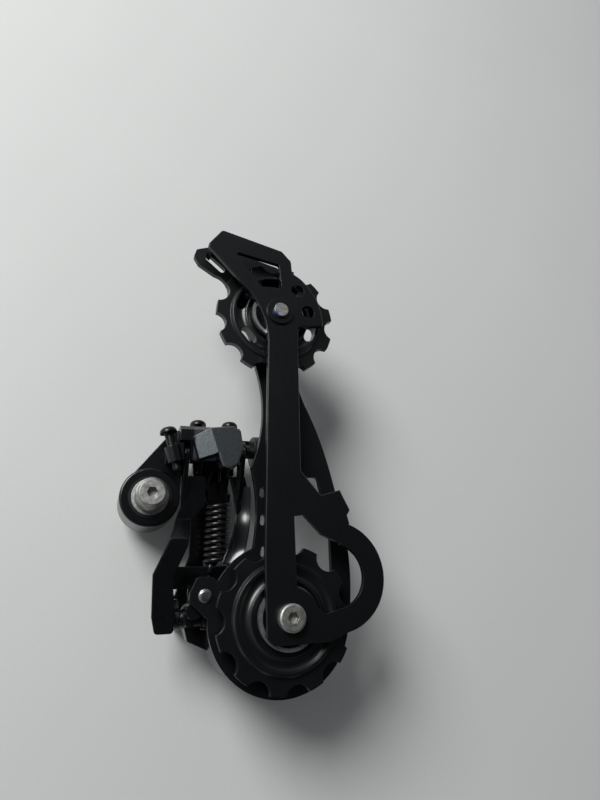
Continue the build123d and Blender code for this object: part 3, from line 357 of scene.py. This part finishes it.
def zinc_plated_steel(look, name, centre=(0.0, 0.0), locker=None, polish=0.5, dome=0.25 * MM):
    """Steel with zinc: turned faces under a thin pale matt plate, slightly mottled. polish is the
    roughness, which is lower on a burnished rivet, and dome is the radius of its edges. locker is
    the middle of a drop of threadlocker, and the height that the drop hangs down to."""
    made, tree, shader, place = begin(name)
    # Turning marks are finer than this and are drawn at 0.2 mm so that they show.
    marks = rings(tree, place, centre, 0.2 * MM)[0]
    mottle = grain(tree, place, 0.8 * MM, 4.0, 0.6)
    round_normal = soft_edges(tree, dome)[0]
    metal = tint(tree, mottle.outputs["Fac"], shade(look.zinc, 0.5), shade(look.zinc, 1.0))
    if locker is None:
        join(tree, metal, shader.inputs["Base Color"])
        shader.inputs["Metallic"].default_value = 1.0
    else:
        side, height = locker
        parts = add(tree, "ShaderNodeSeparateXYZ", {"Vector": place})
        # The dry drop has a ragged outline and hangs over the edge of the end.
        drop = add(tree, "ShaderNodeVectorMath", {0: place, 1: side}, operation="DISTANCE")
        uneven = between(tree, mottle.outputs["Fac"], -0.5 * MM, 0.5 * MM)
        ragged = add(tree, "ShaderNodeMath", {0: drop.outputs["Value"], 1: uneven}, operation="ADD")
        patch = between(tree, ragged.outputs[0], 1.0, 0.0, 1.7 * MM, 2.1 * MM)
        top = between(tree, parts.outputs["Z"], 0.0, 1.0, height - 0.1 * MM, height)
        smear = times(tree, patch, top)
        join(tree, overlay(tree, smear, metal, rgba(look.locker)), shader.inputs["Base Color"])
        join(tree, between(tree, smear, 1.0, 0.0), shader.inputs["Metallic"])
    join(tree, between(tree, mottle.outputs["Fac"], polish * 0.9, polish * 1.1), shader.inputs["Roughness"])
    raise_surface(tree, shader, marks, 0.02 * MM, 0.3, round_normal)
    return made


def black_oxide_steel(look):
    """Screws in black oxide: dark steel with an oily sheen and small bright specks."""
    made, tree, shader, place = begin("black oxide steel")
    fine = grain(tree, place, 0.25 * MM, 3.0)
    join(tree, tint(tree, fine.outputs["Fac"], shade(look.oxide, 0.7), shade(look.oxide, 2.0), 0.35, 0.8),
         shader.inputs["Base Color"])
    join(tree, between(tree, fine.outputs["Fac"], 0.22, 0.4), shader.inputs["Roughness"])
    shader.inputs["Metallic"].default_value = 0.35
    raise_surface(tree, shader, fine.outputs["Fac"], 0.01 * MM, normal=soft_edges(tree, 0.2 * MM)[0])
    return made


def enamelled_wire(look):
    """Drawn spring wire in black enamel: glossy, and slightly uneven in tone and in height."""
    made, tree, shader, place = begin("enamelled spring wire")
    fine = grain(tree, place, 0.5 * MM, 2.0)
    join(tree, tint(tree, fine.outputs["Fac"], shade(look.wire, 0.8), shade(look.wire, 1.8)),
         shader.inputs["Base Color"])
    join(tree, between(tree, fine.outputs["Fac"], 0.28, 0.38), shader.inputs["Roughness"])
    raise_surface(tree, shader, fine.outputs["Fac"], 0.01 * MM)
    shader.inputs["Coat Weight"].default_value = 0.2
    shader.inputs["Coat Roughness"].default_value = 0.2
    return made


def moulded_nylon(look, name, centre):
    """Glass-filled nylon: a smooth waxy face with faint flow rings about the gate, and a painted highlight
    along its edges.
    """
    made, tree, shader, place = begin(name)
    # Spark erosion leaves 0.1 mm pits, drawn at 0.25 mm so that they show.
    pits = grain(tree, place, 0.25 * MM, 2.0)
    clouds = grain(tree, place, 6.0 * MM, 2.0)
    flow = rings(tree, place, centre, 1.6 * MM)[0]
    round_normal, edge = soft_edges(tree, 0.35 * MM)
    base = tint(tree, clouds.outputs["Fac"], shade(look.nylon, 0.8), shade(look.nylon, 1.3))
    # The edges are painted paler, a painted edge highlight.
    join(tree, overlay(tree, between(tree, edge, 0.0, 0.2), base, shade(look.nylon, 4.0)),
         shader.inputs["Base Color"])
    join(tree, between(tree, clouds.outputs["Fac"], 0.25, 0.34), shader.inputs["Roughness"])
    height = add(tree, "ShaderNodeMath", {0: flow, 1: 0.25, 2: pits.outputs["Fac"]},
                 operation="MULTIPLY_ADD")
    raise_surface(tree, shader, height.outputs[0], 0.008 * MM, normal=round_normal)
    return made


def spun_stainless(look, name, centre, ring):
    """Spun stainless steel: a bright turned rim, and inside it the metal painted nearly black, a painted
    dark reflection.
    """
    made, tree, shader, place = begin(name)
    marks, away = rings(tree, place, centre, 0.2 * MM)
    fine = grain(tree, place, 0.8 * MM, 2.0)
    bright = tint(tree, fine.outputs["Fac"], shade(look.steel, 0.8), shade(look.steel, 1.1))
    # Inside the rim the steel is painted nearly black, a painted dark reflection.
    painted_dark_reflection = tint(tree, fine.outputs["Fac"], shade(look.acetal, 1.0), shade(look.acetal, 4.0))
    rim = between(tree, away, 0.0, 1.0, ring - 0.15 * MM, ring + 0.15 * MM)
    join(tree, overlay(tree, rim, painted_dark_reflection, bright), shader.inputs["Base Color"])
    shader.inputs["Metallic"].default_value = 0.9
    join(tree, between(tree, fine.outputs["Fac"], 0.26, 0.36), shader.inputs["Roughness"])
    raise_surface(tree, shader, marks, 0.015 * MM, 0.5)
    return made


def acetal(look):
    """Moulded acetal: smooth, waxy and nearly black."""
    made, tree, shader, place = begin("acetal")
    fine = grain(tree, place, 0.6 * MM, 2.0)
    join(tree, tint(tree, fine.outputs["Fac"], shade(look.acetal, 0.9), shade(look.acetal, 1.1)),
         shader.inputs["Base Color"])
    join(tree, between(tree, fine.outputs["Fac"], 0.34, 0.42), shader.inputs["Roughness"])
    raise_surface(tree, shader, fine.outputs["Fac"], 0.006 * MM)
    return made


def bench_laminate(look):
    """Pale grey laminate: a nearly flat satin sheet with a faint fine speckle."""
    made, tree, shader, place = begin("pale laminate")
    speck = grain(tree, place, 0.8 * MM, 3.0)
    clouds = grain(tree, place, 60.0 * MM, 2.0)
    both = times(tree, speck.outputs["Fac"], clouds.outputs["Fac"])
    join(tree, tint(tree, both, shade(look.bench, 0.98), shade(look.bench, 1.01), 0.1, 0.4),
         shader.inputs["Base Color"])
    shader.inputs["Roughness"].default_value = 0.55
    shader.inputs["Specular IOR Level"].default_value = 0.25
    raise_surface(tree, shader, speck.outputs["Fac"], 0.01 * MM, 0.3)
    return made


def dress(node, material):
    """Gives a CAD node one material, in place of those it has."""
    shown = frame["nodes"][node]
    shown.data.materials.clear()
    shown.data.materials.append(material)


def middle(node):
    """The centre of a node's box, as a vector in metres."""
    low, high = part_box(node)
    return (Vector(low) + Vector(high)) / 2


# ---- Surfaces --------------------------------------------------------------------


def grid_mesh(name, points, close_u, close_v, caps=()):
    """Makes a mesh of quads from a grid of points, closed round in either direction, with caps of
    one face each."""
    rows, columns = points.shape[:2]
    index = np.arange(rows * columns).reshape(rows, columns)
    down = np.roll(index, -1, 0) if close_u else index[1:]
    here = index if close_u else index[:-1]
    right = np.roll(here, -1, 1)
    below = np.roll(down, -1, 1)
    if not close_v:
        here, right, down, below = here[:, :-1], right[:, :-1], down[:, :-1], below[:, :-1]
    quads = np.stack([here, right, below, down], -1).reshape(-1, 4)
    faces = quads.tolist() + [list(cap) for cap in caps]
    mesh = bpy.data.meshes.new(name)
    mesh.from_pydata(points.reshape(-1, 3).tolist(), [], faces)
    mesh.update()
    mesh.shade_smooth()
    mesh.set_sharp_from_angle(angle=math.radians(35))
    made = bpy.data.objects.new(name, mesh)
    bpy.context.scene.collection.objects.link(made)
    return made


def end_caps(rows, sides):
    """The faces that close the two open ends of a grid of rows that each go round, facing outwards."""
    last = (rows - 1) * sides
    return range(sides - 1, -1, -1), range(last, last + sides)


def tube_along(name, path, radius, sides=14):
    """A round wire along a path. Each point is the path's point plus radius times the cosine and
    sine of the angle round it along two directions square to the path: the first is square to a
    slanting direction too, which no run of the path follows, and the second is square to both."""
    tangent = np.gradient(path, axis=0)
    tangent /= np.linalg.norm(tangent, axis=1)[:, None]
    side = np.cross(tangent, (1.0, 1.0, 1.0))
    side /= np.linalg.norm(side, axis=1)[:, None]
    other = np.cross(tangent, side)
    angle = np.linspace(0, 2 * np.pi, sides, endpoint=False)
    ring = side[:, None] * np.cos(angle)[None, :, None] + other[:, None] * np.sin(angle)[None, :, None]
    # The last ring at each end is drawn in, which rounds off the cut.
    swell = np.ones(len(path))
    swell[[0, -1]] = 0.75
    points = path[:, None] + radius * swell[:, None, None] * ring
    return grid_mesh(name, points, False, True, end_caps(len(path), sides))


def smooth_run(knots, step):
    """A smooth line through knots, with points a step apart. Between two knots it is a cubic whose
    slope at each knot is half the way from the knot before to the knot after."""
    slope = np.gradient(knots, axis=0)
    t = np.linspace(0, 1, 24, endpoint=False)[None, :, None]
    near, far = knots[:-1, None], knots[1:, None]
    line = ((2 * t**3 - 3 * t**2 + 1) * near + (t**3 - 2 * t**2 + t) * slope[:-1, None]
            + (3 * t**2 - 2 * t**3) * far + (t**3 - t**2) * slope[1:, None])
    line = np.vstack([line.reshape(-1, 3), knots[-1:]])
    along = np.concatenate([[0], np.cumsum(np.linalg.norm(np.diff(line, axis=0), axis=1))])
    even = np.linspace(0, along[-1], int(along[-1] / step) + 2)
    return np.stack([np.interp(even, along, line[:, k]) for k in range(3)], -1)


def helix(foot, head, radius, turns, start, steps=30):
    """A coil's centre line from foot to head: at a fraction f of the way, the point on the line
    from foot to head plus radius times the cosine and sine of f full turns, square to the line.
    start is the direction, about square to the line, in which the coil begins and ends."""
    axis = (head - foot) / np.linalg.norm(head - foot)
    other = np.cross(axis, start)
    f = np.linspace(0, 1, turns * steps + 1)[:, None]
    angle = 2 * np.pi * turns * f
    return foot + f * (head - foot) + radius * (np.cos(angle) * start + np.sin(angle) * other)


def turned(name, crown, axis, radius, depth):
    """A turned piece. Each point is the crown, plus its depth along the axis, plus its radius times
    the cosine and sine of the column's angle along two directions square to the axis."""
    side = np.cross(axis, (1.0, 1.0, 1.0))
    side /= np.linalg.norm(side)
    other = np.cross(axis, side)
    rows, sides = radius.shape
    a = np.linspace(0, 2 * np.pi, sides, endpoint=False)[None, :, None]
    points = crown + axis * depth[..., None] + radius[..., None] * (side * np.cos(a) + other * np.sin(a))
    return grid_mesh(name, points, False, True, end_caps(rows, sides))


def thread(start, end, root, crest, pitch, sides):
    """The radii and depths of a thread. At a depth h and an angle a the radius is the root plus the
    crest times a zigzag of h over the pitch less a over a full turn, sinking to nothing at its ends."""
    h = np.linspace(0, end - start, int((end - start) / pitch * 8) + 1)[:, None]
    a = np.linspace(0, 1, sides, endpoint=False)[None]
    zigzag = 1 - np.abs(2 * ((h / pitch - a) % 1.0) - 1)
    fade = np.clip(np.minimum(h, end - start - h) / pitch, 0, 1)
    return root + crest * zigzag * fade, start + h + 0 * a


def pan_screw(name, crown, axis, reach, sizes, sides=72):
    """A screw with a domed head, a cross recess and a thread, from the head's middle to its tip. Over
    the head the radius and the rise follow the sine and the cosine of t to the power 0.8. Two crossed
    bars, with sloping sides and ends, are sunk into its middle."""
    t = np.linspace(0.03, np.pi / 2, 26)[:, None]
    a = np.linspace(0, 2 * np.pi, sides, endpoint=False)[None]
    over = sizes.head * np.sin(t) ** 0.8 + 0 * a
    sunk = sizes.rise * (1 - np.cos(t) ** 0.8) + 0 * a
    x, y = np.abs(over * np.cos(a)), np.abs(over * np.sin(a))
    half_width, side_slope = 0.45 * MM, 0.2 * MM
    half_length, end_slope = 1.6 * MM, 0.4 * MM
    recess = 1.1 * MM

    def bar(aside, along):
        return (np.clip((half_width - aside) / side_slope, 0, 1)
                * np.clip((half_length - along) / end_slope, 0, 1))

    bars = np.maximum(bar(x, y), bar(y, x))
    chamfer = 0.4 * MM
    radius, depth = thread(sizes.rise, reach - chamfer, sizes.shank, sizes.crest, sizes.screw_pitch, sides)
    point = np.full((1, sides), sizes.shank - chamfer)
    return turned(name, crown, axis, np.vstack([over, radius, point]),
                  np.vstack([sunk + recess * bars, depth, np.full((1, sides), reach)]))


def bolt_end(name, end, sizes, sides=96):
    """The threaded end of the mounting bolt, from its socket's floor over the flat face and the
    chamfer to the shoulder. The socket is a hexagon: its radius at an angle is half its width across
    the flats, over the cosine of the angle from the middle of the nearest flat."""
    a = np.linspace(0, 2 * np.pi, sides, endpoint=False)
    hexagon = sizes.socket / np.cos((a + np.pi / 6) % (np.pi / 3) - np.pi / 6)
    flat = np.ones(sides)
    floor, bevel, chamfer = 2.4 * MM, 0.12 * MM, 0.3 * MM
    neck, first_turn, shank = 1.0 * MM, 1.1 * MM, 2.4 * MM
    profile = ((0.02 * hexagon, floor), (hexagon, floor), (hexagon, bevel),
               (hexagon + bevel, 0.0), (sizes.face * flat, 0.0),
               ((sizes.face + chamfer) * flat, chamfer), ((sizes.face + chamfer) * flat, neck))
    radius, depth = thread(first_turn, end, sizes.hanger_root, sizes.hanger_crest, sizes.hanger_pitch, sides)
    # From the shank down the roots lie just inside the solid bolt, and only the crests stand out.
    radius = np.where(depth > shank, np.maximum(radius, sizes.hanger_core), radius)
    return turned(name, np.array((0.0, 0.0, end)), np.array((0.0, 0.0, -1.0)),
                  np.vstack([ring for ring, down in profile] + [radius]),
                  np.vstack([down * flat for ring, down in profile] + [depth]))


def pressed_strip(name, left, right, rise, wave, thick, across=13):
    """A pressed strip between two edges. From its left to its right edge it turns up by the square of
    the way across, as a rolled flange does, and along it the height follows a cosine of the given
    wave: its height, its length and the place of its steepest fall. The underside is a thickness
    lower, and its points close the section."""
    u = np.linspace(0, 1, across)[None, :, None]
    top = left[:, None] * (1 - u) + right[:, None] * u
    height, wavelength, steepest = wave
    lift = rise * u[..., 0] ** 2 - height * np.sin(2 * np.pi * (top[..., 1] - steepest) / wavelength)
    top[..., 2] += lift
    under = top[:, ::-1] - (0.0, 0.0, thick)
    points = np.concatenate([top, under], axis=1)
    rows, sides = points.shape[:2]
    return grid_mesh(name, points, False, True, end_caps(rows, sides))


# ---- Operators ---------------------------------------------------------------------


class DERAILLEUR_OT_cage(bpy.types.Operator):
    """Finish the two cage plates in electrocoat"""
    bl_idname = "derailleur.cage"
    bl_label = "Cage plates"

    def execute(self, context):
        coat = electrocoated_steel(context.scene.derailleur_colours)
        for node in ("inner_cage_plate", "outer_cage_plate"):
            dress(node, coat)
        return {"FINISHED"}


class DERAILLEUR_OT_links(bpy.types.Operator):
    """Finish the two links in gloss enamel"""
    bl_idname = "derailleur.links"
    bl_label = "Links"

    def execute(self, context):
        enamel = enamelled_steel(context.scene.derailleur_colours)
        for node in ("inner_link", "outer_link"):
            dress(node, enamel)

        # The right arm's pressed sheet. Each row gives the Y and the left and right X of its two edges,
        # which lie on the arm's leaning face.
        pivot = middle("upper_inner_pin")
        # The lean is the tangent of the link's 6 degrees.
        below_pivot, lean = 3.14 * MM, 0.105
        edges = np.array([(4.0, 28.5, 33.4), (0.0, 28.9, 33.7), (-4.0, 28.9, 33.7), (-8.0, 28.6, 33.5),
                          (-12.0, 27.9, 33.1), (-16.0, 26.6, 32.5), (-19.0, 25.3, 31.4),
                          (-21.5, 24.2, 29.9)]) * MM
        y = edges[:, 0]
        face = pivot.z - below_pivot + lean * y
        left = smooth_run(np.stack([edges[:, 1], y, face], -1), 0.5 * MM)
        right = smooth_run(np.stack([edges[:, 2], y, face], -1), 0.5 * MM)
        rows = min(len(left), len(right))
        wave = (0.43 * MM, 13.7 * MM, -6.3 * MM)
        sheet = pressed_strip("link_arm_sheet", left[:rows], right[:rows], rise=1.7 * MM,
                              wave=wave, thick=0.8 * MM)
        sheet.data.materials.append(enamel)
        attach(sheet, "inner_link")
        return {"FINISHED"}


class DERAILLEUR_OT_knuckles(bpy.types.Operator):
    """Finish the cast knuckles in black paint, with the tumbled nose left bare"""
    bl_idname = "derailleur.knuckles"
    bl_label = "Knuckles"

    def execute(self, context):
        look = context.scene.derailleur_colours
        dress("p_knuckle", painted_casting(look))
        # The bare nose starts just short of the high limit screw, a little below the top of the pin.
        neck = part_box("high_limit_screw")[0][0] - 0.3 * MM
        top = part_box("upper_inner_pin")[1][2] - 0.2 * MM
        dress("b_knuckle", painted_casting(look, "part-bare cast aluminium", (neck, top)))
        return {"FINISHED"}


class DERAILLEUR_OT_fasteners(bpy.types.Operator):
    """Finish bolts and pins in zinc, and the washer in black oxide"""
    bl_idname = "derailleur.fasteners"
    bl_label = "Fasteners"

    def execute(self, context):
        look = context.scene.derailleur_colours
        for node in ("mounting_bolt", "guide_bolt", "p_axle", "p_axle_screw",
                     "upper_inner_pin", "upper_outer_pin", "lower_inner_pin", "lower_outer_pin",
                     "anchor_washer", "anchor_bolt"):
            at = middle(node)
            dress(node, zinc_plated_steel(look, "zinc-plated steel " + node, at))
        # The stop pin is riveted over, so its end is burnished and domed.
        dress("stop_pin", zinc_plated_steel(look, "burnished zinc rivet", middle("stop_pin"),
                                            polish=0.24, dome=1.6 * MM))
        centre = middle("tension_bolt")
        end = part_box("tension_bolt")[1][2]
        aside, hang = 2.7 * MM, 2.5 * MM
        drop = (centre.x - aside, centre.y - aside, end)
        dress("tension_bolt", zinc_plated_steel(look, "zinc-plated steel with threadlocker",
                                                centre, (drop, end - hang)))
        dress("b_washer", black_oxide_steel(look))
        return {"FINISHED"}


class DERAILLEUR_OT_pulleys(bpy.types.Operator):
    """Finish pulleys, dust caps, sleeves and the polymer parts"""
    bl_idname = "derailleur.pulleys"
    bl_label = "Pulleys"

    def execute(self, context):
        look = context.scene.derailleur_colours
        for end in ("guide", "tension"):
            at = middle(end + "_pulley")
            dress(end + "_pulley", moulded_nylon(look, "glass-filled nylon " + end, at))
            low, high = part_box(end + "_caps")
            rim_width = 1.1 * MM
            ring = (high[0] - low[0]) / 2 - rim_width
            caps = spun_stainless(look, "spun stainless steel " + end, at, ring)
            dress(end + "_caps", caps)
            dress(end + "_sleeve", caps)
        polymer = acetal(look)
        for node in ("b_bushing", "p_seal", "barrel_adjuster"):
            dress(node, polymer)
        return {"FINISHED"}


class DERAILLEUR_OT_springs(bpy.types.Operator):
    """Wind the return spring with its two hooks, and finish both springs"""
    bl_idname = "derailleur.springs"
    bl_label = "Springs"

    def execute(self, context):
        sizes = context.scene.derailleur_spring
        wire = enamelled_wire(context.scene.derailleur_colours)
        dress("p_spring", wire)

        # The coil leans from the link's cross-bar towards the front of the pin that it hooks round,
        # and is wider than its solid.
        centre = np.array(middle("return_spring"))
        foot = centre + np.array((0.5, -10.5, 0.5)) * MM
        head = centre + np.array((1.0, 9.2, 2.7)) * MM
        pin = np.array(middle("upper_outer_pin"))
        pin[0] = centre[0]
        left = np.array((-1.0, 0.0, 0.0))
        coil = helix(foot, head, sizes.mean, sizes.turns, left)

        # The upper hook goes up in front of the pin, over it, across behind it and back the same way.
        upper = np.array([(-3.4, -9.4, 1.4), (-2.9, -6.8, 1.9), (-1.9, -4.7, 2.3), (-1.4, -2.6, 2.5),
                          (-1.4, 0.0, 2.3), (-1.4, 1.6, 1.6), (-1.4, 2.3, 0.0), (-1.4, 1.66, -1.66),
                          (-1.2, 0.0, -2.26), (-0.6, -0.4, -2.24)]) * MM
        over = upper[4:][::-1] * (-1, 1, 1)
        free = np.array([(1.4, -2.4, 2.5), (1.4, -4.6, 2.4), (1.3, -6.6, 2.1)]) * MM
        upper = np.vstack([coil[-2:], pin + upper, pin + over, pin + free])
        # The lower hook comes up through the hole in the link's cross-bar and curls over its edge.
        hole = centre + np.array((-2.6, -14.8, 4.5)) * MM
        lower = hole + np.array([(0.1, 2.6, 2.0), (0.0, 1.3, 2.1), (0.0, 0.3, 1.5), (0.0, 0.0, 0.0),
                                 (0.0, 0.2, -2.2), (-0.2, 1.6, -3.6), (-0.5, 3.0, -4.0)]) * MM
        lower = np.vstack([lower, coil[:2]])
        path = np.vstack([smooth_run(lower, sizes.wire / 3)[:-2], coil[1:-1],
                          smooth_run(upper, sizes.wire / 3)[2:]])
        spring = tube_along("return_spring_wire", path, sizes.wire / 2)
        spring.data.materials.append(wire)
        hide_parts("return_spring")
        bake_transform(spring)
        return {"FINISHED"}


class DERAILLEUR_OT_threads(bpy.types.Operator):
    """Turn the mounting bolt's end, the limit screws and the B-tension screw with their threads"""
    bl_idname = "derailleur.threads"
    bl_label = "Threads"

    def execute(self, context):
        look = context.scene.derailleur_colours
        sizes = context.scene.derailleur_threads
        end = bolt_end("hanger_bolt_end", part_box("mounting_bolt")[1][2] + 0.02 * MM, sizes)
        end.data.materials.append(zinc_plated_steel(look, "zinc-plated steel hanger thread"))
        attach(end, "hanger_bolt")

        # The fasteners' step made this material.
        oxide = bpy.data.materials["black oxide steel"]
        travel = next(joint for joint in frame["record"]["behaviour"]["joints"]
                      if joint["name"] == "b_screw_travel")
        down = np.array((0.0, -1.0, 0.0))
        slant = -np.array(travel["axis"])
        for node, axis in (("high_limit_screw", down), ("low_limit_screw", down),
                           ("b_tension_screw", slant)):
            low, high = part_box(node)
            centre = np.array(middle(node))
            if node == "b_tension_screw":
                # The solid tip's rim touches two sides of the box.
                rim = 1.5 * MM
                tip = np.array((high[0] - rim * abs(axis[1]), low[1] + rim * abs(axis[0]), centre[2]))
                reach = sizes.b_screw
            else:
                tip = np.array((centre[0], low[1], centre[2]))
                reach = high[1] - low[1]
            screw = pan_screw(node + "_turned", tip - axis * reach, axis, reach, sizes)
            screw.data.materials.append(oxide)
            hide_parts(node)
            # Each screw's body has its node's name.
            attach(screw, node)
        return {"FINISHED"}


class DERAILLEUR_OT_stage(bpy.types.Operator):
    """Lay the bench, and set the camera, the lamps and the room's light"""
    bl_idname = "derailleur.stage"
    bl_label = "Stage"

    def execute(self, context):
        sizes = context.scene.derailleur_stage
        lowest = CAD_BOX[0][2] - sizes.gap
        half = sizes.bench / 2
        corners = np.array([[[-half, -half, lowest], [half, -half, lowest]],
                            [[-half, half, lowest], [half, half, lowest]]])
        bench = grid_mesh("bench", corners, False, False)
        bench.data.materials.append(bench_laminate(context.scene.derailleur_colours))

        eye = bpy.data.objects.new("camera", bpy.data.cameras.new("camera"))
        context.scene.collection.objects.link(eye)
        # The eye stands 0.19 m above the origin's plane, to the lower left of the mounting bolt, and
        # looks to the upper right.
        eye.location = Vector((-15.8, -35.83, 194.21)) * MM
        eye.rotation_euler = [math.radians(a) for a in (20.419, -18.719, -2.630)]
        eye.data.sensor_fit = "VERTICAL"
        eye.data.sensor_height = 36.0
        eye.data.lens = sizes.lens
        eye.data.clip_start = 0.01
        context.scene.camera = eye

        # A large soft lamp stands to the upper left.
        lamp = bpy.data.lights.new("key lamp", "AREA")
        lamp.shape = "DISK"
        lamp.size = 0.55
        lamp.energy = sizes.key
        key = bpy.data.objects.new("key lamp", lamp)
        context.scene.collection.objects.link(key)
        key.location = (-0.50, 0.56, 0.70)
        key.rotation_euler = (Vector((0.02, 0.03, 0.0)) - key.location).to_track_quat("-Z", "Y").to_euler()

        world = bpy.data.worlds.new("room")
        context.scene.world = world
        world.use_nodes = True
        world.node_tree.nodes.clear()
        tree = world.node_tree
        # The room is dark overhead, lighter towards its walls, and lightest towards the windows on the
        # left and above.
        towards = add(tree, "ShaderNodeVectorMath",
                      {0: add(tree, "ShaderNodeTexCoord").outputs["Generated"], 1: (-0.36, 0.39, -0.85)},
                      operation="DOT_PRODUCT")
        level = between(tree, towards.outputs["Value"], sizes.fill * 0.15, sizes.fill * 2.4, -0.85, 0.53)
        glow = add(tree, "ShaderNodeBackground", {"Color": (0.93, 0.96, 1.0, 1.0), "Strength": level})
        out = add(tree, "ShaderNodeOutputWorld")
        join(tree, glow.outputs[0], out.inputs["Surface"])
        context.scene.view_settings.view_transform = "Standard"
        return {"FINISHED"}


class DERAILLEUR_PT_panel(bpy.types.Panel):
    """Lists the steps that finish the derailleur"""
    bl_idname = "DERAILLEUR_PT_panel"
    bl_label = "Rear derailleur"
    bl_space_type = "VIEW_3D"
    bl_region_type = "UI"
    bl_category = "Derailleur"

    def draw(self, context):
        for step in STEPS:
            self.layout.operator(step.bl_idname)
        for group in (context.scene.derailleur_colours, context.scene.derailleur_spring,
                      context.scene.derailleur_threads, context.scene.derailleur_stage):
            box = self.layout.box()
            for name in group.__annotations__:
                box.prop(group, name)


STEPS = (DERAILLEUR_OT_cage, DERAILLEUR_OT_links, DERAILLEUR_OT_knuckles, DERAILLEUR_OT_fasteners,
         DERAILLEUR_OT_pulleys, DERAILLEUR_OT_springs, DERAILLEUR_OT_threads, DERAILLEUR_OT_stage)
CLASSES = (FinishColours, SpringSizes, ThreadSizes, StageSizes, *STEPS, DERAILLEUR_PT_panel)


def register():
    for kind in CLASSES:
        bpy.utils.register_class(kind)
    bpy.types.Scene.derailleur_colours = PointerProperty(type=FinishColours)
    bpy.types.Scene.derailleur_spring = PointerProperty(type=SpringSizes)
    bpy.types.Scene.derailleur_threads = PointerProperty(type=ThreadSizes)
    bpy.types.Scene.derailleur_stage = PointerProperty(type=StageSizes)


def unregister():
    del bpy.types.Scene.derailleur_stage
    del bpy.types.Scene.derailleur_threads
    del bpy.types.Scene.derailleur_spring
    del bpy.types.Scene.derailleur_colours
    for kind in reversed(CLASSES):
        bpy.utils.unregister_class(kind)


def main():
    """Runs every step in order."""
    register()
    for step in STEPS:
        group, name = step.bl_idname.split(".")
        if getattr(getattr(bpy.ops, group), name)() != {"FINISHED"}:
            raise RuntimeError(step.bl_label + " did not finish")


if __name__ == "__main__":
    main()
